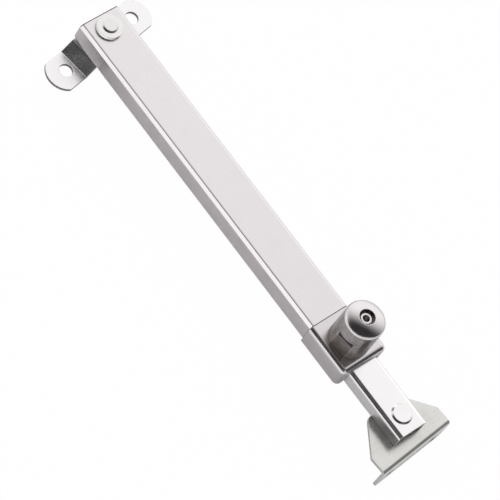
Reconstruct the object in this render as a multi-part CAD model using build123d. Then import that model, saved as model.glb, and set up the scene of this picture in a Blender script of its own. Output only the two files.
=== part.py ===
from build123d import *
import os
from math import hypot, radians, sin, sqrt

# Window opening restrictor: a telescopic stay with a key lock.
# Millimetres. +Z is away from the window frame. The origin is the frame pivot, on the
# face of the frame bracket that lies on the window frame. +X runs along the arm.

# Fits
running_clearance = 0.05        # radial, round piece in a round hole
side_clearance = 0.10           # flat faces that slide past each other
edge_clearance = 0.20           # edges that swing past a plate

# Frame bracket: a strap pressed up into a raised pad
frame_sheet = 1.5
frame_hole_spacing = 44.0
frame_hole_radius = 3.2
frame_strap_width = 16.0
frame_end_radius = 9.4
frame_pad_length = 22.4
frame_pad_top = 5.9
frame_wall_run = 5.5
frame_upper_bend = 2.6
frame_lower_bend = 1.2
frame_turn = 8.5                # degrees, as the bracket stands in the photograph

# Frame rivet, its spacer and its washer
frame_rivet_radius = 3.0
frame_head_radius = 3.7
frame_head_crown_radius = 3.06
frame_head_height = 0.9
frame_foot_radius = 5.0
frame_foot_height = 1.6
frame_bush_radius = 5.0
frame_bush_length = 9.3
frame_washer_radius = 6.1
frame_washer_thickness = 1.5

# Outer channel: one folded sheet, open below between two lips
channel_width = 22.0
channel_height = 11.2
channel_sheet = 1.0
channel_bend = 2.0
channel_lip_bend = 1.2
channel_lip_width = 3.5
channel_overhang = 7.1          # from the pivot to the channel's square end
channel_corner_radius = 2.2

# Sliding pieces inside the channel
travel_step = 35.0
travel_steps = 4
slider_gap = 0.8                # from the frame spacer to the slide block
slider_length = 14.0
slider_end_wall = 2.2
slider_pin_radius = 1.25
slider_pin_inset = 6.0
guide_length = 22.9
guide_side_wall = 1.55
guide_top_wall = 0.4
guide_floor = 0.7

# Inner bar, as wide as the guide in the channel leaves room for
bar_sheet = 1.5
bar_bend = 2.2
bar_end_reach = 8.6             # from the sash pivot to the bar's square end

# Collar: a deep cap pressed from one sheet, over the channel's far end
collar_sheet = 1.8
collar_length = 24.8
collar_height = 11.2
collar_side_gap = 0.3
collar_bend = 2.5
collar_corner_radius = 2.5
collar_mouth_gap = 0.4
collar_mouth_bend = 2.4

# Lock, standing on the collar
lock_setback = 12.2             # from the collar's front face to the lock's axis
lock_radius = 9.4
lock_rim_radius = 9.05
lock_body_height = 18.6
lock_rim_height = 0.8
lock_height = 21.8
lock_flat_depth = 1.3
lock_flat_height = 11.7
lock_flat_turn = 9.0
lock_bore_radius = 6.0
lock_floor = 1.3
lock_spigot_radius = 4.5
key_hole_radius = 3.7
key_depth = 3.9
key_post_radius = 2.5
key_post_bore = 1.65
key_post_seat = 2.0             # how far the post is pressed into the plug
key_post_drop = 1.5             # from the recess edge down to the post's end
cap_seat_radius = 7.2
cap_seat_depth = 1.3
plug_length = 3.1
plunger_drop = 4.0
plunger_rest_gap = 0.5          # from the bar's top up to the resting pin
plunger_pin_radius = 2.5
plunger_pin_flat = 0.4
plunger_disc = 1.2
bar_hole_clearance = 0.4
cam_turn = 90.0
cam_gap = 0.25
cam_margin = 0.15
spring_radius = 3.6
spring_wire = 0.8
spring_turns = 2.0

# Sash pivot and sash bracket: a tapered plate with a flange folded down
sash_reach = 27.0               # from the collar's front face to the sash pivot
sash_rivet_radius = 3.0
sash_head_radius = 4.87
sash_head_crown_radius = 4.12
sash_head_height = 0.8
sash_foot_radius = 4.5
sash_foot_height = 1.0
sash_bush_wall = 1.75
sash_washer_radius = 6.0
sash_washer_thickness = 0.9
sash_sheet = 1.5
sash_back = 8.4
sash_back_width = 18.8
sash_back_radius = 4.0
sash_width = 42.4
sash_shoulder = 6.4
sash_shoulder_radius = 1.6
sash_front = 15.2
sash_fold = 1.9
sash_flange_height = 14.0
sash_flange_radius = 2.0
sash_hole_spacing = 28.0
sash_hole_radius = 2.5
sash_hole_drop = 8.6            # from the plate's top to the screw holes
sash_turn = 4.2                 # degrees, as the bracket stands in the photograph

# Widths, from the channel inwards
channel_inner_half = channel_width / 2 - channel_sheet
bar_half = channel_inner_half - guide_side_wall - 2 * side_clearance

# Levels, from the window frame upwards
channel_under = frame_pad_top + frame_bush_length + side_clearance
channel_top = channel_under + channel_sheet
channel_bottom = channel_top - channel_height
lip_top = channel_bottom + channel_sheet
collar_top = channel_top + collar_sheet
washer_low = channel_top + side_clearance
washer_high = washer_low + frame_washer_thickness
bar_top = channel_under - guide_top_wall - 2 * side_clearance
bar_under = bar_top - bar_sheet
bar_bottom = lip_top + guide_floor + 2 * side_clearance
sash_top = bar_bottom - edge_clearance
sash_under = sash_top - sash_sheet
sash_washer_high = sash_under - side_clearance
sash_washer_low = sash_washer_high - sash_washer_thickness

# Stations along the arm, from the frame pivot outwards
travel = travel_step * travel_steps
slider_rear = frame_bush_radius + slider_gap
slider_front = slider_rear + slider_length
bar_rear = slider_rear + slider_end_wall
guide_rear = slider_front + travel + 2 * side_clearance
guide_front = guide_rear + guide_length
collar_end_gap = collar_bend - collar_sheet + side_clearance
collar_front = guide_front + collar_end_gap + collar_sheet
collar_rear = collar_front - collar_length
lock_x = collar_front - lock_setback
sash_x = collar_front + sash_reach
bar_front = sash_x + bar_end_reach

# Levels inside the lock
lock_floor_top = collar_top + lock_floor
lock_body_top = collar_top + lock_body_height
lock_rim_top = lock_body_top + lock_rim_height
lock_top = collar_top + lock_height
cap_seat = lock_rim_top - cap_seat_depth
plug_front = lock_top - key_depth
plug_rear = plug_front - plug_length
cam_radius = lock_bore_radius - running_clearance
cam_rise = plunger_drop / (2 * sin(radians(cam_turn / 2)))
cam_middle = plug_rear - cam_margin - cam_rise
disc_top = cam_middle - cam_gap - cam_rise - cam_margin
disc_under = disc_top - plunger_disc
pin_tip = bar_top + plunger_rest_gap

# The lips start outside the circle that the raised pad sweeps below the arm
wall_lean = frame_wall_run / (frame_pad_top - frame_sheet)
pad_reach = frame_pad_length / 2 + wall_lean * (frame_pad_top - channel_bottom)
pad_sweep = hypot(pad_reach, frame_strap_width / 2) + 2 * edge_clearance
lip_inner = channel_width / 2 - channel_lip_width
lip_start = sqrt(pad_sweep ** 2 - lip_inner ** 2)


def folded(points, radii, sheet):
    """Section of a folded sheet. The points run along its outer side, the sheet on their right."""
    outside = FilletPolyline(*points, radius=radii)
    return make_face(offset(outside, amount=sheet, side=Side.RIGHT))


def along_x(section, start, end):
    """A section drawn as (across, up), drawn out along the arm from start to end."""
    return extrude(Plane.YZ.offset(start) * section, end - start)


def disc(radius, low, high, x=0.0):
    """A round of the given radius on the arm's centre line at x, between two levels."""
    return Pos(x, 0, low) * extrude(Circle(radius), high - low)


def turned(points, x=0.0):
    """A turned piece from its (radius, level) outline, on the axis at x."""
    outline = Plane.XZ * make_face(Polyline(*points, close=True))
    return Pos(x, 0, 0) * revolve(outline, Axis.Z)


def ring(outer, inner, low, high, x=0.0):
    """A plain washer or spacer."""
    return disc(outer, low, high, x) - disc(inner, low, high, x)


def upright_box(x_range, half_width, low, high):
    """A box centred on the arm's plane, between two stations and two levels."""
    start, end = x_range
    return Pos(start, 0, low) * Box(
        end - start, 2 * half_width, high - low, align=(Align.MIN, Align.CENTER, Align.MIN)
    )


# Frame side

def make_frame_bracket():
    half_pad = frame_pad_length / 2
    wall_foot = half_pad + frame_wall_run
    hole_at = frame_hole_spacing / 2
    end_at = hole_at + frame_end_radius
    top_side = [
        (-end_at, frame_sheet),
        (-wall_foot, frame_sheet),
        (-half_pad, frame_pad_top),
        (half_pad, frame_pad_top),
        (wall_foot, frame_sheet),
        (end_at, frame_sheet),
    ]
    bends = [frame_lower_bend, frame_upper_bend, frame_upper_bend, frame_lower_bend]
    strap = along_x(
        folded(top_side, bends, frame_sheet), -frame_strap_width / 2, frame_strap_width / 2
    )
    ends = Pos(0, hole_at) * Circle(frame_end_radius) + Pos(0, -hole_at) * Circle(frame_end_radius)
    plan = Rectangle(frame_strap_width, frame_hole_spacing) + ends
    strap = strap & extrude(plan, frame_pad_top)
    for place in (hole_at, -hole_at):
        strap -= Pos(0, place, 0) * extrude(Circle(frame_hole_radius), frame_sheet)
    strap -= disc(frame_rivet_radius, 0, frame_pad_top)
    return Rot(0, 0, frame_turn) * strap


def make_frame_bush():
    return ring(frame_bush_radius, frame_rivet_radius, frame_pad_top, channel_under - side_clearance)


def make_frame_washer():
    return ring(frame_washer_radius, frame_rivet_radius, washer_low, washer_high)


def make_frame_rivet():
    pad_under = frame_pad_top - frame_sheet
    return turned([
        (0, pad_under - frame_foot_height),
        (frame_foot_radius, pad_under - frame_foot_height),
        (frame_foot_radius, pad_under),
        (frame_rivet_radius, pad_under),
        (frame_rivet_radius, washer_high),
        (frame_head_radius, washer_high),
        (frame_head_crown_radius, washer_high + frame_head_height),
        (0, washer_high + frame_head_height),
    ])


# Arm

def channel_section():
    half = channel_width / 2
    outer_side = [
        (-lip_inner, channel_bottom),
        (-half, channel_bottom),
        (-half, channel_top),
        (half, channel_top),
        (half, channel_bottom),
        (lip_inner, channel_bottom),
    ]
    bends = [channel_lip_bend, channel_bend, channel_bend, channel_lip_bend]
    return folded(outer_side, bends, channel_sheet)


def make_outer_channel():
    channel = along_x(channel_section(), -channel_overhang, guide_front)
    free_edge = frame_pad_top + edge_clearance
    radius = channel_corner_radius
    notch = Pos(-channel_overhang, 0) * Rectangle(
        lip_start + channel_overhang, free_edge, align=(Align.MIN, Align.MIN)
    )
    corner = Pos(-channel_overhang, free_edge) * Rectangle(radius, radius, align=(Align.MIN, Align.MIN))
    corner -= Pos(-channel_overhang + radius, free_edge + radius) * Circle(radius)
    channel -= extrude(Plane.XZ * (notch + corner), channel_width, both=True)
    channel -= disc(frame_rivet_radius + running_clearance, channel_under, channel_top)
    channel -= disc(lock_spigot_radius, channel_under, channel_top, lock_x)
    return channel


def make_collar():
    half = channel_width / 2 + collar_side_gap + collar_sheet
    low = collar_top - collar_height
    block = upright_box((collar_rear, collar_front), half, low, collar_top)
    corners = block.edges().filter_by(Axis.Z).group_by(Axis.X)[-1]
    block = fillet(corners, collar_corner_radius)
    crown = block.edges().group_by(Axis.Z)[-1]
    block = fillet(crown - crown.group_by(Axis.X)[0], collar_bend)
    hollow = upright_box(
        (collar_rear, collar_front - collar_sheet), half - collar_sheet, low, channel_top
    )
    hollow_corners = hollow.edges().filter_by(Axis.Z).group_by(Axis.X)[-1]
    collar = block - fillet(hollow_corners, collar_corner_radius - collar_sheet)
    mouth_half = bar_half + collar_mouth_gap
    mouth_top = bar_top + collar_mouth_gap + side_clearance
    mouth = Pos(0, low) * Rectangle(
        2 * mouth_half, mouth_top - low, align=(Align.CENTER, Align.MIN)
    )
    mouth = fillet(mouth.vertices().group_by(Axis.Y)[-1], collar_mouth_bend)
    collar -= along_x(mouth, collar_front - 2 * collar_sheet, collar_front + collar_sheet)
    collar -= disc(lock_spigot_radius, channel_top, collar_top, lock_x)
    return collar


def channel_filler(start, end):
    """A block that slides in the channel, clear of its top, sides and lips."""
    half = channel_inner_half - side_clearance
    block = upright_box((start, end), half, lip_top + side_clearance, channel_under - side_clearance)
    top_edges = block.edges().filter_by(Axis.X).group_by(Axis.Z)[-1]
    return fillet(top_edges, channel_bend - channel_sheet)


def make_front_guide():
    guide = channel_filler(guide_rear, guide_front)
    half = bar_half + side_clearance
    tunnel = upright_box((guide_rear, guide_front), half, bar_bottom - side_clearance,
                         bar_top + side_clearance)
    upper = tunnel.edges().filter_by(Axis.X).group_by(Axis.Z)[-1]
    guide -= fillet(upper, bar_bend)
    return guide - disc(lock_spigot_radius + running_clearance, bar_top, channel_under, lock_x)


# Lock

def flatted(radius, flat):
    """A round section with one flat, so that what slides in it can't turn."""
    return Circle(radius) - Pos(0, radius) * Rectangle(2 * radius, 2 * flat)


def make_lock_housing():
    spigot_bottom = bar_top + 1.5 * side_clearance
    seat_radius = cap_seat_radius + running_clearance
    housing = turned([
        (0, spigot_bottom),
        (lock_spigot_radius, spigot_bottom),
        (lock_spigot_radius, collar_top),
        (lock_radius, collar_top),
        (lock_radius, lock_body_top),
        (lock_rim_radius, lock_rim_top),
        (seat_radius, lock_rim_top),
        (seat_radius, cap_seat),
        (lock_bore_radius, cap_seat),
        (lock_bore_radius, lock_floor_top),
        (0, lock_floor_top),
    ], lock_x)
    pin_bore = flatted(plunger_pin_radius + running_clearance, plunger_pin_flat)
    housing -= Pos(lock_x, 0, spigot_bottom) * extrude(pin_bore, lock_floor_top - spigot_bottom)
    flat = Pos(0, -lock_radius, 0) * Box(
        2 * lock_radius, 2 * lock_flat_depth, 2 * lock_flat_height
    )
    housing -= Pos(lock_x, 0, collar_top) * Rot(0, 0, lock_flat_turn) * flat
    return housing


def make_lock_cap():
    dome_rise = lock_top - lock_rim_top
    dome_level = ((lock_rim_radius ** 2 - key_hole_radius ** 2) / dome_rise - dome_rise) / 2
    dome_radius = hypot(lock_rim_radius, dome_level)
    middle = (lock_rim_radius + key_hole_radius) / 2
    dome_middle = lock_rim_top - dome_level + sqrt(dome_radius ** 2 - middle ** 2)
    dome = ThreePointArc(
        (lock_rim_radius, lock_rim_top), (middle, dome_middle), (key_hole_radius, lock_top)
    )
    sides = Polyline(
        (key_hole_radius, lock_top),
        (key_hole_radius, cap_seat),
        (cap_seat_radius, cap_seat),
        (cap_seat_radius, lock_rim_top),
        (lock_rim_radius, lock_rim_top),
    )
    outline = Plane.XZ * make_face([dome, sides])
    return Pos(lock_x, 0, 0) * revolve(outline, Axis.Z)


def cam_cutter(level, above):
    """Half space above or below a plane that leans along the arm through the lock's axis."""
    size = 4 * lock_radius
    lean = Plane(origin=(lock_x, 0, level), x_dir=(cam_radius, 0, cam_rise), z_dir=(-cam_rise, 0, cam_radius))
    align = Align.MIN if above else Align.MAX
    return lean * Box(size, size, size, align=(Align.CENTER, Align.CENTER, align))


def make_lock_plug():
    plug = disc(cam_radius, cam_middle - cam_rise - cam_margin, plug_front, lock_x)
    plug -= cam_cutter(cam_middle, above=False)
    return plug - disc(key_post_radius, plug_front - key_post_seat, plug_front, lock_x)


def make_key_post():
    return ring(
        key_post_radius, key_post_bore, plug_front - key_post_seat, lock_top - key_post_drop, lock_x
    )


def make_lock_plunger():
    follower_radius = lock_bore_radius - side_clearance
    follower = disc(follower_radius, disc_under, cam_middle + cam_rise, lock_x)
    follower -= cam_cutter(cam_middle - cam_gap, above=True)
    pin = flatted(plunger_pin_radius, plunger_pin_flat)
    return follower + Pos(lock_x, 0, pin_tip) * extrude(pin, disc_under - pin_tip)


def make_plunger_spring():
    height = disc_under - lock_floor_top - spring_wire
    coil = Helix(height / spring_turns, height, spring_radius)
    wire = Plane(coil @ 0, x_dir=(1, 0, 0), z_dir=coil % 0) * Rectangle(spring_wire, spring_wire)
    spring = sweep(wire, path=coil, is_frenet=True)
    return Pos(lock_x, 0, (lock_floor_top + disc_under - height) / 2) * spring


# Sliding bar

def bar_section(grow=0.0):
    """The inner bar's inverted U, or the slot that takes it, grown all round."""
    half = bar_half + grow
    bottom = bar_bottom - grow
    top = bar_top + grow
    outer_side = [(-half, bottom), (-half, top), (half, top), (half, bottom)]
    return folded(outer_side, [bar_bend, bar_bend], bar_sheet + 2 * grow)


def slider_cross_round(radius, half_length):
    """A round across the arm where the pin holds the slide block in the bar."""
    level = (bar_bottom + bar_under) / 2
    across = Rot(90, 0, 0) * Cylinder(radius, 2 * half_length)
    return Pos(bar_rear + slider_pin_inset, 0, level) * across


def make_inner_bar():
    bar = along_x(bar_section(), bar_rear, bar_front)
    hole_radius = plunger_pin_radius + bar_hole_clearance
    for step in range(travel_steps + 1):
        bar -= disc(hole_radius, bar_under, bar_top, lock_x - step * travel_step)
    bar -= disc(sash_rivet_radius, bar_under, bar_top, sash_x)
    return bar - slider_cross_round(slider_pin_radius + running_clearance, channel_width)


def make_rear_slider():
    slider = channel_filler(slider_rear, slider_front)
    slider -= along_x(bar_section(running_clearance), bar_rear, slider_front)
    return slider - slider_cross_round(slider_pin_radius + running_clearance, channel_width)


def make_slider_pin():
    return slider_cross_round(slider_pin_radius, channel_inner_half - edge_clearance)


# Sash side

def make_sash_bush():
    outer = sash_rivet_radius + sash_bush_wall
    return ring(outer, sash_rivet_radius, sash_top + side_clearance, bar_under, sash_x)


def make_sash_washer():
    return ring(sash_washer_radius, sash_rivet_radius, sash_washer_low, sash_washer_high, sash_x)


def make_sash_rivet():
    return turned([
        (0, sash_washer_low - sash_foot_height),
        (sash_foot_radius, sash_washer_low - sash_foot_height),
        (sash_foot_radius, sash_washer_low),
        (sash_rivet_radius, sash_washer_low),
        (sash_rivet_radius, bar_top),
        (sash_head_radius, bar_top),
        (sash_head_crown_radius, bar_top + sash_head_height),
        (0, bar_top + sash_head_height),
    ], sash_x)


def make_sash_bracket():
    half = sash_width / 2
    flange_low = sash_top - sash_flange_height
    outer_side = [(-sash_back, sash_top), (sash_front, sash_top), (sash_front, flange_low)]
    section = folded(outer_side, [sash_fold], sash_sheet)
    sheet = Pos(0, half, 0) * extrude(Plane.XZ * section, sash_width)
    corners = sheet.edges().filter_by(Axis.X).group_by(Axis.Z)[0]
    sheet = fillet(corners, sash_flange_radius)
    back_half = sash_back_width / 2
    plan = make_face(Polyline(
        (-sash_back, -back_half), (sash_shoulder, -half), (sash_front, -half),
        (sash_front, half), (sash_shoulder, half), (-sash_back, back_half), close=True,
    ))
    columns = plan.vertices().group_by(Axis.X)
    plan = fillet(columns[0], sash_back_radius)
    shoulders = [v for v in plan.vertices() if abs(v.X - sash_shoulder) < sash_sheet]
    plan = fillet(shoulders, sash_shoulder_radius)
    bracket = sheet & Pos(0, 0, flange_low) * extrude(plan, sash_flange_height)
    bracket -= Pos(0, 0, sash_under) * extrude(
        Circle(sash_rivet_radius + running_clearance), sash_sheet
    )
    screw_hole = Rot(0, 90, 0) * Cylinder(sash_hole_radius, 4 * sash_sheet)
    for side in (-1, 1):
        place = (sash_front, side * sash_hole_spacing / 2, sash_top - sash_hole_drop)
        bracket -= Pos(*place) * screw_hole
    return Pos(sash_x, 0, 0) * Rot(0, 0, sash_turn) * bracket


parts = {
    "frame_bracket": make_frame_bracket(),
    "frame_bush": make_frame_bush(),
    "frame_washer": make_frame_washer(),
    "frame_rivet": make_frame_rivet(),
    "outer_channel": make_outer_channel(),
    "collar": make_collar(),
    "front_guide": make_front_guide(),
    "lock_housing": make_lock_housing(),
    "lock_cap": make_lock_cap(),
    "lock_plug": make_lock_plug(),
    "key_post": make_key_post(),
    "lock_plunger": make_lock_plunger(),
    "plunger_spring": make_plunger_spring(),
    "inner_bar": make_inner_bar(),
    "rear_slider": make_rear_slider(),
    "slider_pin": make_slider_pin(),
    "sash_rivet": make_sash_rivet(),
    "sash_bush": make_sash_bush(),
    "sash_washer": make_sash_washer(),
    "sash_bracket": make_sash_bracket(),
}

os.makedirs("parts", exist_ok=True)
for name, shape in parts.items():
    export_step(shape, f"parts/{name}.step")
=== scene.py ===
from collections import namedtuple
from math import cos, pi, radians, sin

import bpy
from bpy.props import FloatProperty, FloatVectorProperty, PointerProperty
from bpy.types import Operator, Panel, PropertyGroup
from mathutils import Matrix, Vector


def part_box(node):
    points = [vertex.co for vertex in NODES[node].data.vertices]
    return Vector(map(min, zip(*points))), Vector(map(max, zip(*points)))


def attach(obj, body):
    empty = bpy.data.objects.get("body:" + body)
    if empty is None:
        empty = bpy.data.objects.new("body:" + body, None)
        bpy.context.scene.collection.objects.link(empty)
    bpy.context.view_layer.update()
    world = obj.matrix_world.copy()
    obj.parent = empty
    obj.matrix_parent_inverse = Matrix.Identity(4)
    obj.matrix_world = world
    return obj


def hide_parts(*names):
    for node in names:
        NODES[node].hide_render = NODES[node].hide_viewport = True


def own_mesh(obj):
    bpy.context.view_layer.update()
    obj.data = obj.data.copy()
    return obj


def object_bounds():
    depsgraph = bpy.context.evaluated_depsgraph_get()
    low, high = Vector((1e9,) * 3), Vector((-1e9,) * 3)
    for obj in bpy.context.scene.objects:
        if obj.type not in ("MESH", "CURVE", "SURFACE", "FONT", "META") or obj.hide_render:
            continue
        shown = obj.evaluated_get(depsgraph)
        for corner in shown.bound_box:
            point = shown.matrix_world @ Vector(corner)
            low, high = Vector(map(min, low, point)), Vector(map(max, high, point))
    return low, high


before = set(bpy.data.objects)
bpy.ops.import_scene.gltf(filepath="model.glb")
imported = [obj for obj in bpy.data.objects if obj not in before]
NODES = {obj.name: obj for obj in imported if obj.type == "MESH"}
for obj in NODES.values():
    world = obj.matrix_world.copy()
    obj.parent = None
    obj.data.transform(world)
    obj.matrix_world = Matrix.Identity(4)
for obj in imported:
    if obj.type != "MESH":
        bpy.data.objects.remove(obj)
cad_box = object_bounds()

bl_info = {
    "name": "Window opening restrictor",
    "version": (1, 0, 0),
    "blender": (4, 5, 0),
    "location": "3D View > Sidebar > Restrictor",
    "description": "Finishes, studio and camera for a telescopic window restrictor with a key lock",
    "category": "Object",
}

MM = 0.001
WHITE = (1, 1, 1, 1)

# Settings that several shader nodes share
SMOOTH = {"interpolation_type": "SMOOTHSTEP"}
MULTIPLY = {"operation": "MULTIPLY"}
MULTIPLY_ADD = {"operation": "MULTIPLY_ADD"}
LARGER = {"operation": "MAXIMUM"}
SUBTRACT = {"operation": "SUBTRACT"}
UNSIGNED = {"operation": "ABSOLUTE"}
COLOURS = {"data_type": "RGBA"}
DARKEN = {"data_type": "RGBA", "blend_type": "MULTIPLY"}

# The burnished face of a fold: its lean from level, and the angles of the bend that it takes
# the place of, in degrees
Fold = namedtuple("Fold", "lean begin end")

# A thin dark line across a piece, painted shade where it runs along a step: its start along X,
# its width along X, and the heights between which it runs
DarkLine = namedtuple("DarkLine", "start width low high")

# A lit part of the light tent: where its middle is, in radians, the angles from there at which
# it has ended and from which it is full, in degrees, and its brightness
LitPart = namedtuple("LitPart", "azimuth elevation ended full level")


def from_hex(code):
    """Linear colour with alpha from an sRGB hex value."""
    channels = [int(code[i:i + 2], 16) / 255 for i in (1, 3, 5)]
    linear = [c / 12.92 if c <= 0.04045 else ((c + 0.055) / 1.055) ** 2.4 for c in channels]
    return (*linear, 1.0)


def scaled(colour, factor):
    """A linear colour made lighter or darker by a factor, and kept short of full white."""
    brightest = 0.95
    return [min(channel * factor, brightest) for channel in colour[:3]] + [1.0]


def add_node(tree, kind, settings=(), **inputs):
    """Adds a shader node with its settings and links.

    An input is called by its socket's name, or by its identifier where names repeat, and is a
    value or a (node, output name) pair to link from.
    """
    node = tree.nodes.new(kind)
    for name, value in dict(settings).items():
        setattr(node, name, value)
    identified = {socket.identifier: socket for socket in node.inputs}
    for name, value in inputs.items():
        socket = identified[name] if name in identified else node.inputs[name.replace("_", " ")]
        if isinstance(value, tuple) and isinstance(value[0], bpy.types.Node):
            source, output = value
            tree.links.new(source.outputs[output], socket)
        else:
            socket.default_value = value
    return node


def new_material(name):
    """A new node material and its empty tree."""
    material = bpy.data.materials.new(name)
    material.use_nodes = True
    tree = material.node_tree
    tree.nodes.clear()
    return material, tree


def add_object(name, data):
    """A new object in the scene for a mesh, a camera or a lamp."""
    thing = bpy.data.objects.new(name, data)
    bpy.context.scene.collection.objects.link(thing)
    return thing


def add_mesh(name, corners, faces):
    """A new mesh object in the scene."""
    mesh = bpy.data.meshes.new(name)
    mesh.from_pydata(corners, [], faces)
    return add_object(name, mesh)


# Settings

class StudioSettings(PropertyGroup):
    azimuth: FloatProperty(
        name="Azimuth", description="Side from which the camera looks, from the -Y side towards +X",
        default=radians(18.53), subtype="ANGLE",
    )
    elevation: FloatProperty(
        name="Elevation", description="Height of the camera's line of sight above the floor",
        default=radians(56.68), subtype="ANGLE",
    )
    roll: FloatProperty(
        name="Roll", description="Turn of the camera about its own line of sight",
        default=radians(37.03), subtype="ANGLE",
    )
    distance: FloatProperty(
        name="Distance", description="From the camera to the point it aims at",
        default=1.6392, unit="LENGTH",
    )
    aim: FloatVectorProperty(
        name="Aim", description="Point on the arm at the middle of the picture",
        default=(0.1173, -0.0117, 0.0163), subtype="XYZ", unit="LENGTH",
    )
    lens: FloatProperty(
        name="Lens", description="Focal length in millimetres on a 36 mm sensor", default=274.8,
    )
    floor_colour: FloatVectorProperty(
        name="Floor colour", description="Paper sweep under the restrictor",
        default=from_hex("#F3F1F2"), size=4, subtype="COLOR", min=0, max=1,
    )
    near_floor: FloatProperty(
        name="Near floor", description="How far from the arm the paper stays grey in reflections",
        default=38 * MM, unit="LENGTH",
    )
    lit_side: FloatProperty(
        name="Lit side", description="Azimuth of the light tent's lit wall, behind the arm",
        default=radians(210), subtype="ANGLE",
    )
    lit_level: FloatProperty(
        name="Lit level", description="Brightness of the tent's lit wall", default=1.38,
    )
    low_side: FloatProperty(
        name="Low side", description="Azimuth of the low lit strip in front of the arm",
        default=radians(12), subtype="ANGLE",
    )
    low_level: FloatProperty(
        name="Low level", description="Brightness of the low lit strips", default=1.6,
    )
    dark_level: FloatProperty(
        name="Dark level", description="Brightness of the tent's unlit roof, above the camera",
        default=0.039,
    )
    overhead_power: FloatProperty(
        name="Overhead power", description="Softbox over the floor", default=1.6, subtype="POWER",
    )


class FinishSettings(PropertyGroup):
    sheet_colour: FloatVectorProperty(
        name="Sheet colour", description="Cold rolled stainless steel of the channel",
        default=from_hex("#D4D0D1"), size=4, subtype="COLOR", min=0, max=1,
    )
    collar_colour: FloatVectorProperty(
        name="Collar colour", description="Collar, duller from deep drawing",
        default=from_hex("#CBC7C8"), size=4, subtype="COLOR", min=0, max=1,
    )
    tumbled_colour: FloatVectorProperty(
        name="Tumbled colour", description="Inner bar and its rivet, tumbled bright",
        default=from_hex("#E7E5E5"), size=4, subtype="COLOR", min=0, max=1,
    )
    strap_colour: FloatVectorProperty(
        name="Strap colour", description="Frame bracket, pressed and tumbled",
        default=from_hex("#E2E0E0"), size=4, subtype="COLOR", min=0, max=1,
    )
    washer_colour: FloatVectorProperty(
        name="Washer colour", description="Rivet and washer on the frame side",
        default=from_hex("#DBD8D8"), size=4, subtype="COLOR", min=0, max=1,
    )
    sash_colour: FloatVectorProperty(
        name="Sash plate colour", description="Sash bracket, greyer from the press",
        default=from_hex("#CFCECB"), size=4, subtype="COLOR", min=0, max=1,
    )
    cap_colour: FloatVectorProperty(
        name="Cap colour", description="Bright nickel plating of the lock's cap and post",
        default=from_hex("#D2CDCE"), size=4, subtype="COLOR", min=0, max=1,
    )
    body_colour: FloatVectorProperty(
        name="Lock body colour", description="Satin nickel plating of the lock's body",
        default=from_hex("#ABA6A6"), size=4, subtype="COLOR", min=0, max=1,
    )
    plug_colour: FloatVectorProperty(
        name="Plug colour", description="Dull nickel plating of the plug in the key recess",
        default=from_hex("#A8A5A0"), size=4, subtype="COLOR", min=0, max=1,
    )
    acetal_colour: FloatVectorProperty(
        name="Guide colour", description="Moulded acetal of the guides and spacers",
        default=from_hex("#2A2B2D"), size=4, subtype="COLOR", min=0, max=1,
    )
    grain_spacing: FloatProperty(
        name="Grain spacing",
        description="Distance between rolling lines, coarser than real so that they show",
        default=0.5 * MM, unit="LENGTH",
    )
    grain_length: FloatProperty(
        name="Grain length", description="Length of a rolling line along the sheet",
        default=30 * MM, unit="LENGTH",
    )
    edge_radius: FloatProperty(
        name="Edge radius", description="Rounding left by tumbling on cut sheet edges",
        default=0.25 * MM, unit="LENGTH",
    )


# Finishes

def worn_normal(tree, edge_radius, fold=None):
    """Normals with tumbled edges, and with a fold flattened to one burnished face.

    Rounded edges catch a thin bright line. The folding tool leaves a narrow leaning face along
    a fold, which mirrors one tone as a crisp line. The side towards +Y lay against the die and
    keeps its round fold.
    """
    edges = add_node(tree, "ShaderNodeBevel", {"samples": 6}, Radius=edge_radius)
    if fold is None:
        return (edges, "Normal")
    soft = 8
    surface = add_node(tree, "ShaderNodeNewGeometry")
    parts = add_node(tree, "ShaderNodeSeparateXYZ", Vector=(surface, "Normal"))
    begun = add_node(
        tree, "ShaderNodeMapRange", SMOOTH, Value=(parts, "Z"),
        From_Min=cos(radians(fold.begin)), From_Max=cos(radians(fold.begin + soft)),
    )
    unfinished = add_node(
        tree, "ShaderNodeMapRange", SMOOTH, Value=(parts, "Z"),
        From_Min=cos(radians(fold.end - soft)), From_Max=cos(radians(fold.end)),
        To_Min=1.0, To_Max=0.0,
    )
    bend = add_node(
        tree, "ShaderNodeMath", MULTIPLY, Value=(begun, "Result"), Value_001=(unfinished, "Result"),
    )
    place = add_node(tree, "ShaderNodeTexCoord")
    facing = add_node(tree, "ShaderNodeSeparateXYZ", Vector=(place, "Normal"))
    tool_side = add_node(
        tree, "ShaderNodeMapRange", SMOOTH, Value=(facing, "Y"), From_Min=0.05, From_Max=0.25,
        To_Min=1.0, To_Max=0.0,
    )
    share = add_node(
        tree, "ShaderNodeMath", MULTIPLY, Value=(bend, "Value"), Value_001=(tool_side, "Result"),
    )
    level = add_node(
        tree, "ShaderNodeVectorMath", MULTIPLY, Vector=(surface, "Normal"), Vector_001=(1, 1, 0),
    )
    outward = add_node(
        tree, "ShaderNodeVectorMath", {"operation": "NORMALIZE"}, Vector=(level, "Vector"),
    )
    slope = sin(radians(fold.lean))
    leaning = add_node(
        tree, "ShaderNodeVectorMath", MULTIPLY_ADD, Vector=(outward, "Vector"),
        Vector_001=(slope, slope, 0), Vector_002=(0, 0, cos(radians(fold.lean))),
    )
    flattened = add_node(
        tree, "ShaderNodeMix", {"data_type": "VECTOR"}, Factor=(share, "Value"),
        A=(edges, "Normal"), B=(leaning, "Vector"),
    )
    return (flattened, "Result")


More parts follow.
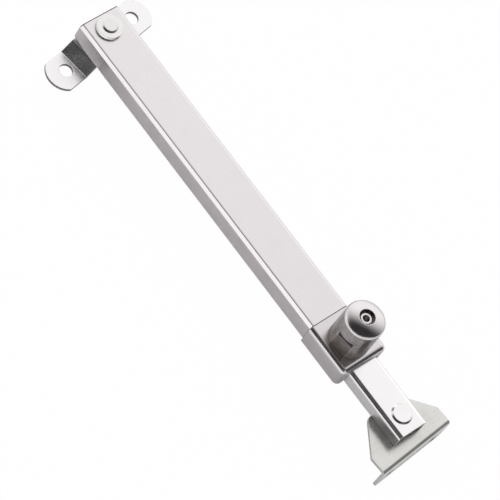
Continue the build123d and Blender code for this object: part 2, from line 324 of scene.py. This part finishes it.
def band(tree, place, axis, low, high, soft):
    """1 between two places on an axis, falling softly to 0 outside them."""
    parts = add_node(tree, "ShaderNodeSeparateXYZ", Vector=(place, "Object"))
    rises = add_node(
        tree, "ShaderNodeMapRange", SMOOTH, Value=(parts, axis),
        From_Min=low - soft, From_Max=low + soft,
    )
    falls = add_node(
        tree, "ShaderNodeMapRange", SMOOTH, Value=(parts, axis),
        From_Min=high - soft, From_Max=high + soft, To_Min=1.0, To_Max=0.0,
    )
    return add_node(
        tree, "ShaderNodeMath", MULTIPLY, Value=(rises, "Result"), Value_001=(falls, "Result"),
    )


def grained_steel(
    name, finish, colour, along, roughness, grain_length, bump=0.003, mottle=0.05, fold=None,
    dark_lines=(), sheared=False,
):
    """Cold rolled stainless steel sheet.

    The rolls leave long faint lines that draw reflections out along them, and handling leaves
    soft smudges that make the shine uneven.
    """
    material, tree = new_material(name)
    place = add_node(tree, "ShaderNodeTexCoord")
    scale = [1 / finish.grain_spacing] * 3
    scale["XYZ".index(along)] = 1 / grain_length
    stretched = add_node(tree, "ShaderNodeMapping", Vector=(place, "Object"), Scale=scale)
    lines = add_node(
        tree, "ShaderNodeTexNoise", Vector=(stretched, "Vector"), Scale=1.0, Detail=3.0,
        Roughness=0.6,
    )
    smudge_size = 9 * MM
    smudges = add_node(
        tree, "ShaderNodeTexNoise", Vector=(place, "Object"), Scale=1 / smudge_size, Detail=4.0,
        Roughness=0.6,
    )
    blotches = add_node(
        tree, "ShaderNodeMix", {"data_type": "FLOAT"}, Factor=0.6, A=(lines, "Fac"),
        B=(smudges, "Fac"),
    )
    rough = add_node(
        tree, "ShaderNodeMapRange", Value=(blotches, "Result"), From_Min=0.3, From_Max=0.7,
        To_Min=roughness - 0.05, To_Max=roughness + 0.06,
    )
    tone = add_node(
        tree, "ShaderNodeMapRange", Value=(blotches, "Result"), From_Min=0.35, From_Max=0.65,
    )
    shade = add_node(
        tree, "ShaderNodeMix", COLOURS, Factor=(tone, "Result"), A=scaled(colour, 1 - mottle),
        B=scaled(colour, 1 + mottle / 2),
    )
    # thin dark lines painted across the piece, painted shade where one runs along a step between
    # parts
    for dark_band in dark_lines:
        across = band(tree, place, "X", dark_band.start, dark_band.start + dark_band.width, 0.12 * MM)
        between = band(tree, place, "Z", dark_band.low, dark_band.high, 0.3 * MM)
        line = add_node(
            tree, "ShaderNodeMath", MULTIPLY, Value=(across, "Value"), Value_001=(between, "Value"),
        )
        shade = add_node(
            tree, "ShaderNodeMix", DARKEN, Factor=(line, "Value"), A=(shade, "Result"),
            B=from_hex("#5E5A58"),
        )
    surface = add_node(tree, "ShaderNodeNewGeometry")
    parts = add_node(tree, "ShaderNodeSeparateXYZ", Vector=(surface, "True Normal"))
    level = add_node(tree, "ShaderNodeMath", UNSIGNED, Value=(parts, "Z"))
    upright = add_node(
        tree, "ShaderNodeMapRange", Value=(level, "Value"), From_Min=0.1, From_Max=0.3,
        To_Min=1.0, To_Max=0.0,
    )
    # sheared edges are left matt and darker than the sheet's faces
    if sheared:
        shade = add_node(
            tree, "ShaderNodeMix", DARKEN, Factor=(upright, "Result"), A=(shade, "Result"),
            B=from_hex("#A09C9A"),
        )
    # the tool scuffs upright walls, which blurs what they mirror
    scuff = 0.14
    scuffed = add_node(
        tree, "ShaderNodeMath", MULTIPLY_ADD, Value=(upright, "Result"), Value_001=scuff,
        Value_002=(rough, "Result"),
    )
    relief = add_node(
        tree, "ShaderNodeBump", Strength=bump, Distance=finish.grain_spacing,
        Height=(lines, "Fac"), Normal=worn_normal(tree, finish.edge_radius, fold),
    )
    steel = add_node(
        tree, "ShaderNodeBsdfPrincipled", Base_Color=(shade, "Result"), Metallic=1.0,
        Roughness=(scuffed, "Value"), Normal=(relief, "Normal"),
    )
    add_node(tree, "ShaderNodeOutputMaterial", Surface=(steel, "BSDF"))
    return material


def turned_plating(name, colour, roughness, edge_radius, fold=None):
    """Nickel plating over turned metal.

    Fine rings round the axis show through the smooth bright coat, and a light haze of handling
    makes its shine uneven. The rings are drawn coarser than real ones so that they show.
    """
    material, tree = new_material(name)
    place = add_node(tree, "ShaderNodeTexCoord")
    groove = 0.35 * MM
    groove_length = 250 * MM
    rings = add_node(
        tree, "ShaderNodeMapping", Vector=(place, "Object"),
        Scale=(1 / groove_length, 1 / groove_length, 1 / groove),
    )
    ringing = add_node(
        tree, "ShaderNodeTexNoise", Vector=(rings, "Vector"), Scale=1.0, Detail=2.0, Roughness=0.5,
    )
    haze_size = 6 * MM
    haze = add_node(
        tree, "ShaderNodeTexNoise", Vector=(place, "Object"), Scale=1 / haze_size, Detail=2.0,
    )
    rough = add_node(
        tree, "ShaderNodeMapRange", Value=(haze, "Fac"), From_Min=0.3, From_Max=0.7,
        To_Min=roughness - 0.03, To_Max=roughness + 0.05,
    )
    tone = add_node(
        tree, "ShaderNodeMix", COLOURS, Factor=(ringing, "Fac"), A=scaled(colour, 0.93),
        B=colour[:],
    )
    relief = add_node(
        tree, "ShaderNodeBump", Strength=0.03, Distance=groove, Height=(ringing, "Fac"),
        Normal=worn_normal(tree, edge_radius, fold),
    )
    plate = add_node(
        tree, "ShaderNodeBsdfPrincipled", Base_Color=(tone, "Result"), Metallic=1.0,
        Roughness=(rough, "Result"), Normal=(relief, "Normal"),
    )
    add_node(tree, "ShaderNodeOutputMaterial", Surface=(plate, "BSDF"))
    return material


def satin_lock_body(name, colour, edge_radius):
    """Satin nickel plating over turned zinc.

    It is cloudy and finely pitted, with grime and painted shade at its foot. The flat was milled
    after turning, so it is greyer, with painted shade in the corner under its ledge. The rim's
    chamfer carries a painted highlight.
    """
    material, tree = new_material(name)
    low, high = (Vector(corner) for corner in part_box("lock_housing"))
    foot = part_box("collar")[1][2]
    place = add_node(tree, "ShaderNodeTexCoord")

    # clouds of uneven plating
    cloud_size = 2.4 * MM
    clouds = add_node(
        tree, "ShaderNodeTexNoise", Vector=(place, "Object"), Scale=1 / cloud_size, Detail=5.0,
        Roughness=0.65,
    )
    clouded = add_node(
        tree, "ShaderNodeMapRange", Value=(clouds, "Fac"), From_Min=0.34, From_Max=0.66,
    )
    tone = add_node(
        tree, "ShaderNodeMix", COLOURS, Factor=(clouded, "Result"), A=scaled(colour, 0.72),
        B=scaled(colour, 1.18),
    )

    # the milled flat is where the surface comes nearer to the axis than the turned radius
    radius = (high.x - low.x) / 2
    flat_begins = radius - 0.28 * MM
    flat_is_full = radius - 0.42 * MM
    centred = add_node(
        tree, "ShaderNodeMapping", Vector=(place, "Object"),
        Location=(-(low.x + high.x) / 2, -(low.y + high.y) / 2, 0),
    )
    sideways = add_node(
        tree, "ShaderNodeVectorMath", MULTIPLY, Vector=(centred, "Vector"), Vector_001=(1, 1, 0),
    )
    reach = add_node(
        tree, "ShaderNodeVectorMath", {"operation": "LENGTH"}, Vector=(sideways, "Vector"),
    )
    milled = add_node(
        tree, "ShaderNodeMapRange", SMOOTH, Value=(reach, "Value"), From_Min=flat_begins,
        From_Max=flat_is_full, To_Max=0.85,
    )
    tone = add_node(
        tree, "ShaderNodeMix", DARKEN, Factor=(milled, "Result"), A=(tone, "Result"),
        B=from_hex("#CBC6C3"),
    )

    # painted shade in the corner under the flat's ledge
    ledge = foot + 11.7 * MM
    corner = band(tree, place, "Z", ledge - 3.1 * MM, ledge + 0.1 * MM, 0.3 * MM)
    shade_under_ledge = add_node(
        tree, "ShaderNodeMath", MULTIPLY, Value=(corner, "Value"), Value_001=(milled, "Result"),
    )
    tone = add_node(
        tree, "ShaderNodeMix", DARKEN, Factor=(shade_under_ledge, "Value"), A=(tone, "Result"),
        B=from_hex("#5C5856"),
    )

    # grime and painted shade round the foot, where the body stands on the collar, fade out upwards
    dark_band_height = 4 * MM
    dark_band = band(tree, place, "Z", foot - 9 * MM, foot + dark_band_height, dark_band_height)
    tone = add_node(
        tree, "ShaderNodeMix", DARKEN, Factor=(dark_band, "Value"), A=(tone, "Result"),
        B=from_hex("#CEC7BC"),
    )

    # painted highlight on the rim's chamfer: a lighter colour there
    chamfer = 0.5 * MM
    rim_highlight = band(tree, place, "Z", high.z - chamfer, high.z + 1 * MM, 0.12 * MM)
    tone = add_node(
        tree, "ShaderNodeMix", COLOURS, Factor=(rim_highlight, "Value"), A=(tone, "Result"),
        B=from_hex("#E8E5E5"),
    )

    # the shine is duller in the foot's grime and shade and sharper on the rim's painted highlight
    haze = add_node(
        tree, "ShaderNodeMapRange", Value=(clouds, "Fac"), From_Min=0.3, From_Max=0.7,
        To_Min=0.26, To_Max=0.38,
    )
    dulled = add_node(
        tree, "ShaderNodeMath", MULTIPLY_ADD, Value=(dark_band, "Value"), Value_001=0.3,
        Value_002=(haze, "Result"),
    )
    rough = add_node(
        tree, "ShaderNodeMath", MULTIPLY_ADD, Value=(rim_highlight, "Value"), Value_001=-0.12,
        Value_002=(dulled, "Value"),
    )

    # the grime and painted shade at the foot are a matt film that hides some of the metal
    bare = add_node(
        tree, "ShaderNodeMapRange", Value=(dark_band, "Value"), To_Min=1.0, To_Max=0.68,
    )

    # fine pits of the zinc casting, drawn coarser than real ones so that they show
    pit_size = 0.45 * MM
    pits = add_node(
        tree, "ShaderNodeTexNoise", Vector=(place, "Object"), Scale=1 / pit_size, Detail=2.0,
    )
    relief = add_node(
        tree, "ShaderNodeBump", Strength=0.06, Distance=pit_size, Height=(pits, "Fac"),
        Normal=worn_normal(tree, edge_radius),
    )
    plate = add_node(
        tree, "ShaderNodeBsdfPrincipled", Base_Color=(tone, "Result"), Metallic=(bare, "Result"),
        Roughness=(rough, "Value"), Normal=(relief, "Normal"),
    )
    add_node(tree, "ShaderNodeOutputMaterial", Surface=(plate, "BSDF"))
    return material


def moulded_acetal(name, colour):
    """Injection moulded acetal: dark and waxy, with a soft sheen broken by its mould's grain."""
    material, tree = new_material(name)
    place = add_node(tree, "ShaderNodeTexCoord")
    grain_size = 0.6 * MM
    grain = add_node(
        tree, "ShaderNodeTexNoise", Vector=(place, "Object"), Scale=1 / grain_size, Detail=2.0,
    )
    rough = add_node(
        tree, "ShaderNodeMapRange", Value=(grain, "Fac"), From_Min=0.3, From_Max=0.7,
        To_Min=0.38, To_Max=0.52,
    )
    relief = add_node(
        tree, "ShaderNodeBump", Strength=0.08, Distance=grain_size, Height=(grain, "Fac"),
    )
    tone = add_node(
        tree, "ShaderNodeMix", COLOURS, Factor=(grain, "Fac"), A=scaled(colour, 0.85),
        B=colour[:],
    )
    plastic = add_node(
        tree, "ShaderNodeBsdfPrincipled", Base_Color=(tone, "Result"), IOR=1.48,
        Roughness=(rough, "Result"), Normal=(relief, "Normal"),
    )
    add_node(tree, "ShaderNodeOutputMaterial", Surface=(plastic, "BSDF"))
    return material


def dress(names, material):
    """Puts a finish on CAD nodes."""
    for name in names:
        piece = NODES[name]
        piece.data.materials.clear()
        piece.data.materials.append(material)


# Pieces

def turned_piece(name, profile, middle, sides=24):
    """A closed piece turned about Z through middle. Profile runs from the axis out and back in."""
    rings = []
    corners = []
    for radius, height in profile:
        ring = []
        for side in range(sides if radius else 1):
            angle = 2 * pi * side / sides
            ring.append(len(corners))
            corners.append(Vector((radius * cos(angle), radius * sin(angle), height)) + middle)
        rings.append(ring)
    faces = []
    for low, high in zip(rings, rings[1:]):
        for side in range(sides):
            after = (side + 1) % sides
            loop = [low[side % len(low)], low[after % len(low)]]
            loop += [high[after % len(high)], high[side % len(high)]]
            # a corner on the axis stands for two of the loop's four
            faces.append(list(dict.fromkeys(loop)))
    piece = add_mesh(name, corners, faces)
    piece.data.shade_smooth()
    return piece


def coil_spring():
    """The plunger's spring in round wire, on the CAD spring's helix."""
    low, high = (Vector(corner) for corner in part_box("plunger_spring"))
    wire = 0.8 * MM
    turns = 2
    steps = 36 * turns
    sides = 8
    radius = (high.x - low.x) / 2 - wire / 2
    rise = high.z - low.z - wire
    slope = rise / (2 * pi * radius * turns)
    axis_foot = Vector(((low.x + high.x) / 2, (low.y + high.y) / 2, low.z + wire / 2))
    corners = []
    for step in range(steps + 1):
        angle = 2 * pi * turns * step / steps
        out = Vector((cos(angle), sin(angle), 0))
        upright = Vector((sin(angle) * slope, -cos(angle) * slope, 1)).normalized()
        centre = axis_foot + out * radius + Vector((0, 0, rise * step / steps))
        for side in range(sides):
            turn = 2 * pi * side / sides
            corners.append(centre + (out * cos(turn) + upright * sin(turn)) * wire / 2)
    faces = [tuple(range(sides)), tuple(reversed(range(steps * sides, (steps + 1) * sides)))]
    for step in range(steps):
        first, second = step * sides, (step + 1) * sides
        for side in range(sides):
            after = (side + 1) % sides
            faces.append((first + side, second + side, second + after, first + after))
    spring = add_mesh("spring_coil", corners, faces)
    spring.data.shade_smooth()
    return spring


def tumbler_pins():
    """Seven pins in the ring's groove round the post. The eighth place is the key's nib slot."""
    low, high = (Vector(corner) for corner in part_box("key_post"))
    post_radius = (high.x - low.x) / 2
    axis = (low + high) / 2
    recess_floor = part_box("lock_plug")[1][2]
    places = 8
    nib_slot = radians(67.5)
    groove = 1.2 * MM
    radius = 0.46 * MM
    sunk, shoulder, crown, dimple = -0.1 * MM, 0.35 * MM, 0.45 * MM, 0.3 * MM
    profile = [
        (0, sunk), (radius, sunk), (radius, shoulder), (radius * 0.8, crown),
        (radius * 0.35, crown), (0, dimple),
    ]
    out = post_radius + groove / 2
    pins = []
    for place in range(1, places):
        angle = nib_slot + 2 * pi * place / places
        middle = Vector((axis.x + out * cos(angle), axis.y + out * sin(angle), recess_floor))
        pins.append(turned_piece(f"tumbler_pin_{place}", profile, middle))
    return pins


class RESTRICTOR_OT_frame_side(Operator):
    """Finish the frame bracket, its rivet, washer and spacer"""
    bl_idname = "restrictor.frame_side"
    bl_label = "Frame bracket and rivet"

    def execute(self, context):
        finish = context.scene.restrictor_finish
        # pressed and tumbled: bright flat faces with a short grain, and dull sheared edges
        strap = grained_steel(
            "Pressed stainless strap", finish, finish.strap_colour, along="Y", roughness=0.25,
            grain_length=finish.grain_length / 3, sheared=True,
        )
        dress(["frame_bracket"], strap)
        # peened: the hammered rim of the head shows as a dark crescent round a bright face
        rivet = turned_plating(
            "Peened stainless rivet", finish.washer_colour, 0.28, finish.edge_radius,
            fold=Fold(lean=32, begin=24, end=74),
        )
        dress(["frame_rivet"], rivet)
        # stamped: the punch rolls the rim over, so that its side stays light
        washer = turned_plating(
            "Stamped washer", finish.washer_colour, 0.22, finish.edge_radius,
            fold=Fold(lean=62, begin=70, end=110),
        )
        dress(["frame_washer"], washer)
        # moulded: a dark matt gap between the bright bracket and the channel
        dress(["frame_bush"], moulded_acetal("Moulded acetal spacer", finish.acetal_colour))
        return {"FINISHED"}


class RESTRICTOR_OT_arm(Operator):
    """Finish the outer channel, the pressed collar and the guide inside it"""
    bl_idname = "restrictor.arm"
    bl_label = "Outer channel and collar"

    def execute(self, context):
        finish = context.scene.restrictor_finish
        collar_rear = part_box("collar")[0][0]
        channel_low, channel_high = (Vector(corner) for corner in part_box("outer_channel"))
        above = channel_high.z + 1 * MM
        # painted shade: a dark line on the channel along the foot of the collar's rear edge
        shade_at_collar = DarkLine(
            start=collar_rear - 0.7 * MM, width=0.7 * MM, low=channel_low.z, high=above,
        )
        # a dark line along the channel's end edge
        at_end = DarkLine(
            start=channel_low.x - 0.1 * MM, width=0.5 * MM, low=channel_high.z - 1.2 * MM,
            high=above,
        )
        # folded: an even light top with long grain, and a bright line along the fold
        folded = grained_steel(
            "Folded stainless channel", finish, finish.sheet_colour, along="X", roughness=0.25,
            grain_length=finish.grain_length, fold=Fold(lean=58, begin=18, end=82),
            dark_lines=(shade_at_collar, at_end),
        )
        dress(["outer_channel"], folded)
        # deep drawn: greyer and less even, and a dark line along its folds
        pressed = grained_steel(
            "Pressed stainless collar", finish, finish.collar_colour, along="X", roughness=0.22,
            grain_length=finish.grain_length / 3, fold=Fold(lean=38, begin=16, end=42),
        )
        dress(["collar"], pressed)
        # moulded: a dark waxy ring inside the bright mouth
        dress(["front_guide"], moulded_acetal("Moulded acetal guide", finish.acetal_colour))
        return {"FINISHED"}


class RESTRICTOR_OT_lock(Operator):
    """Finish the lock's housing, cap, plug, tumblers, plunger and spring"""
    bl_idname = "restrictor.lock"
    bl_label = "Key lock"

    def execute(self, context):
        finish = context.scene.restrictor_finish
        # satin nickel over turned zinc: a clouded grey barrel that blurs what it mirrors
        body = satin_lock_body("Satin nickel lock body", finish.body_colour, finish.edge_radius)
        dress(["lock_housing"], body)
        # bright nickel: the dome mirrors the dark roof and the lit walls sharply
        cap = turned_plating("Bright nickel cap", finish.cap_colour, 0.19, finish.edge_radius * 1.8)
        dress(["lock_cap"], cap)
        # dull nickel: a matt floor that sets off the bright post in the key recess
        core = turned_plating("Dull nickel plug", finish.plug_colour, 0.35, finish.edge_radius / 2)
        dress(["lock_plug", "lock_plunger"], core)
        # turned and plated: a small bright ring at the middle of the recess
        post = turned_plating("Turned nickel post", finish.cap_colour, 0.24, finish.edge_radius / 2)
        dress(["key_post"], post)
        for pin in tumbler_pins():
            pin.data.materials.append(post)
            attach(pin, "plug")
        # drawn: a smooth grey wire with one soft light along it
        wire = turned_plating("Drawn spring wire", finish.sheet_colour, 0.3, finish.edge_radius / 4)
        dress(["plunger_spring"], wire)
        spring = coil_spring()
        spring.data.materials.append(wire)
        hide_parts("plunger_spring")
        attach(spring, "arm")
        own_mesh(spring)
        return {"FINISHED"}


class RESTRICTOR_OT_bar(Operator):
    """Finish the inner bar, its slide block and the sash rivet"""
    bl_idname = "restrictor.bar"
    bl_label = "Inner bar and sash rivet"

    def execute(self, context):
        finish = context.scene.restrictor_finish
        # folded and tumbled: the brightest top, and a broad dark line along its fold
        folded = grained_steel(
            "Folded stainless inner bar", finish, finish.tumbled_colour, along="X",
            roughness=0.24, grain_length=finish.grain_length, fold=Fold(lean=38, begin=6, end=60),
        )
        dress(["inner_bar"], folded)
        # pressed: a bright head with a thin dark rim
        rivet = turned_plating(
            "Pressed stainless rivet", finish.tumbled_colour, 0.2, finish.edge_radius,
            fold=Fold(lean=34, begin=24, end=74),
        )
        dress(["sash_rivet", "sash_washer", "slider_pin"], rivet)
        # moulded: dark waxy blocks, hidden in the arm and under the bar
        block = moulded_acetal("Moulded acetal block", finish.acetal_colour)
        dress(["rear_slider", "sash_bush"], block)
        return {"FINISHED"}


class RESTRICTOR_OT_sash(Operator):
    """Finish the flanged sash bracket"""
    bl_idname = "restrictor.sash"
    bl_label = "Sash bracket"

    def execute(self, context):
        finish = context.scene.restrictor_finish
        # pressed and folded: a blotchy warm grey plate, and a dark line along its fold
        plate = grained_steel(
            "Folded stainless sash plate", finish, finish.sash_colour, along="Y", roughness=0.25,
            grain_length=finish.grain_length / 2, bump=0.002, mottle=0.14,
            fold=Fold(lean=30, begin=10, end=56),
        )
        dress(["sash_bracket"], plate)
        return {"FINISHED"}


# Studio

def towards(azimuth, elevation):
    """Direction from the object to a point at this azimuth and elevation, as the camera's."""
    return Vector((
        sin(azimuth) * cos(elevation), -cos(azimuth) * cos(elevation), sin(elevation)
    ))


def looking_at(aim, direction, distance, roll=0.0):
    """Place of a camera or lamp that faces aim from a direction, turned about its sight line."""
    turn = direction.to_track_quat("Z", "Y").to_matrix().to_4x4() @ Matrix.Rotation(roll, 4, "Z")
    return Matrix.Translation(Vector(aim) + direction * distance) @ turn


def place_camera(scene, studio):
    camera = add_object("camera", bpy.data.cameras.new("camera"))
    direction = towards(studio.azimuth, studio.elevation)
    camera.matrix_world = looking_at(studio.aim, direction, studio.distance, studio.roll)
    camera.data.lens = studio.lens
    camera.data.sensor_width = 36.0
    camera.data.clip_start = 0.05
    scene.camera = camera


def paper_sweep(studio):
    """Matt white paper, lit from both sides.

    The camera sees it white, with a trace of the restrictor's shadow. Metal sees it grey near
    the restrictor, where little light falls, and white further off.
    """
    camera_glow = 0.985
    mirrored_glow = 0.9
    fade = 1.4
    material, tree = new_material("Matt paper sweep")
    paper = add_node(tree, "ShaderNodeBsdfDiffuse", Color=studio.floor_colour[:])
    glow = add_node(tree, "ShaderNodeEmission", Color=WHITE, Strength=1.0)
    rays = add_node(tree, "ShaderNodeLightPath")
    seen = add_node(
        tree, "ShaderNodeMath", LARGER, Value=(rays, "Is Camera Ray"),
        Value_001=(rays, "Is Transmission Ray"),
    )
    seen_glow = add_node(
        tree, "ShaderNodeMath", MULTIPLY, Value=(seen, "Value"), Value_001=camera_glow,
    )

    # the grey part reaches near_floor to all sides of a line under the arm, which is a little
    # shorter than the arm at both ends
    low, high = (Vector(corner) for corner in cad_box)
    grey_middle = (low.x + high.x) / 2 - 7.5 * MM
    grey_half_length = (high.x - low.x) / 2 - 37.5 * MM
    place = add_node(tree, "ShaderNodeTexCoord")
    spot = add_node(tree, "ShaderNodeSeparateXYZ", Vector=(place, "Object"))
    aside = add_node(tree, "ShaderNodeMath", UNSIGNED, Value=(spot, "Y"))
    along = add_node(
        tree, "ShaderNodeMath", SUBTRACT, Value=(spot, "X"), Value_001=grey_middle,
    )
    past_middle = add_node(tree, "ShaderNodeMath", UNSIGNED, Value=(along, "Value"))
    past_end = add_node(
        tree, "ShaderNodeMath", SUBTRACT, Value=(past_middle, "Value"),
        Value_001=grey_half_length,
    )
    away = add_node(
        tree, "ShaderNodeMath", LARGER, Value=(aside, "Value"), Value_001=(past_end, "Value"),
    )
    lit = add_node(
        tree, "ShaderNodeMapRange", SMOOTH, Value=(away, "Value"), From_Min=studio.near_floor,
        From_Max=studio.near_floor * fade, To_Max=mirrored_glow,
    )
    glossy_glow = add_node(
        tree, "ShaderNodeMath", MULTIPLY, Value=(rays, "Is Glossy Ray"),
        Value_001=(lit, "Result"),
    )

    share = add_node(
        tree, "ShaderNodeMath", LARGER, Value=(seen_glow, "Value"),
        Value_001=(glossy_glow, "Value"),
    )
    blend = add_node(
        tree, "ShaderNodeMixShader", Fac=(share, "Value"), Shader=(paper, "BSDF"),
        Shader_001=(glow, "Emission"),
    )
    add_node(tree, "ShaderNodeOutputMaterial", Surface=(blend, "Shader"))
    return material


def lay_floor(studio):
    """A square of paper just below the restrictor."""
    level = cad_box[0][2] - 0.3 * MM
    half = 3.0
    signs = ((-1, -1), (1, -1), (1, 1), (-1, 1))
    floor = add_mesh("floor", [(x * half, y * half, level) for x, y in signs], [(0, 1, 2, 3)])
    floor.data.materials.append(paper_sweep(studio))


def tent_cloth(tree, part, unlit=0.0):
    """Brightness of the tent with one lit part."""
    place = add_node(tree, "ShaderNodeTexCoord")
    facing = add_node(
        tree, "ShaderNodeVectorMath", {"operation": "DOT_PRODUCT"}, Vector=(place, "Generated"),
        Vector_001=towards(part.azimuth, part.elevation),
    )
    return add_node(
        tree, "ShaderNodeMapRange", SMOOTH, Value=(facing, "Value"),
        From_Min=cos(radians(part.ended)), From_Max=cos(radians(part.full)), To_Min=unlit,
        To_Max=part.level,
    )


def light_world(scene, studio):
    """A light tent: the wall behind the arm and low strips round the front are lit, and the
    roof above the camera is dark. The camera sees it white."""
    world = bpy.data.worlds.new("Light tent")
    world.use_nodes = True
    scene.world = world
    tree = world.node_tree
    tree.nodes.clear()
    wall = LitPart(studio.lit_side, radians(16), ended=84, full=26, level=studio.lit_level)
    front = LitPart(studio.low_side, radians(-12), ended=46, full=36, level=studio.low_level)
    left = LitPart(
        studio.low_side - radians(72), radians(4), ended=50, full=28, level=studio.low_level,
    )
    right = LitPart(
        studio.low_side + radians(60), radians(5), ended=42, full=25, level=studio.low_level * 0.7,
    )
    brightness = (tent_cloth(tree, wall, studio.dark_level), "Result")
    for strip in (front, left, right):
        brighter = add_node(
            tree, "ShaderNodeMath", LARGER, Value=brightness,
            Value_001=(tent_cloth(tree, strip), "Result"),
        )
        brightness = (brighter, "Value")
    tent = add_node(tree, "ShaderNodeBackground", Color=WHITE, Strength=brightness)
    backdrop = add_node(tree, "ShaderNodeBackground", Color=WHITE, Strength=1.0)
    rays = add_node(tree, "ShaderNodeLightPath")
    blend = add_node(
        tree, "ShaderNodeMixShader", Fac=(rays, "Is Camera Ray"), Shader=(tent, "Background"),
        Shader_001=(backdrop, "Background"),
    )
    add_node(tree, "ShaderNodeOutputWorld", Surface=(blend, "Shader"))


def hang_softbox(studio):
    """A soft lamp overhead for the floor and the plastic. Metal doesn't mirror it."""
    lamp = bpy.data.lights.new("overhead softbox", "AREA")
    lamp.size = 0.8
    lamp.energy = studio.overhead_power
    softbox = add_object("overhead softbox", lamp)
    softbox.matrix_world = looking_at(studio.aim, towards(radians(-30), radians(72)), distance=1.0)
    softbox.visible_glossy = False


class RESTRICTOR_OT_stage(Operator):
    """Place the camera, lay the floor, light the tent and hang the softbox"""
    bl_idname = "restrictor.stage"
    bl_label = "Stage"

    def execute(self, context):
        scene = context.scene
        studio = scene.restrictor_studio
        place_camera(scene, studio)
        lay_floor(studio)
        light_world(scene, studio)
        hang_softbox(studio)
        scene.view_settings.view_transform = "Standard"
        return {"FINISHED"}


STEPS = (
    RESTRICTOR_OT_frame_side,
    RESTRICTOR_OT_arm,
    RESTRICTOR_OT_lock,
    RESTRICTOR_OT_bar,
    RESTRICTOR_OT_sash,
    RESTRICTOR_OT_stage,
)


class RESTRICTOR_PT_panel(Panel):
    """Settings and steps of the window restrictor"""
    bl_label = "Window restrictor"
    bl_idname = "RESTRICTOR_PT_panel"
    bl_space_type = "VIEW_3D"
    bl_region_type = "UI"
    bl_category = "Restrictor"

    def draw(self, context):
        layout = self.layout
        for group in (context.scene.restrictor_finish, context.scene.restrictor_studio):
            for name in group.__annotations__:
                layout.prop(group, name)
        for step in STEPS:
            layout.operator(step.bl_idname)


CLASSES = (StudioSettings, FinishSettings, *STEPS, RESTRICTOR_PT_panel)


def register():
    for each in CLASSES:
        bpy.utils.register_class(each)
    bpy.types.Scene.restrictor_studio = PointerProperty(type=StudioSettings)
    bpy.types.Scene.restrictor_finish = PointerProperty(type=FinishSettings)


def unregister():
    del bpy.types.Scene.restrictor_finish
    del bpy.types.Scene.restrictor_studio
    for each in reversed(CLASSES):
        bpy.utils.unregister_class(each)


def main():
    register()
    bpy.ops.restrictor.frame_side()
    bpy.ops.restrictor.arm()
    bpy.ops.restrictor.lock()
    bpy.ops.restrictor.bar()
    bpy.ops.restrictor.sash()
    bpy.ops.restrictor.stage()


if __name__ == "__main__":
    main()
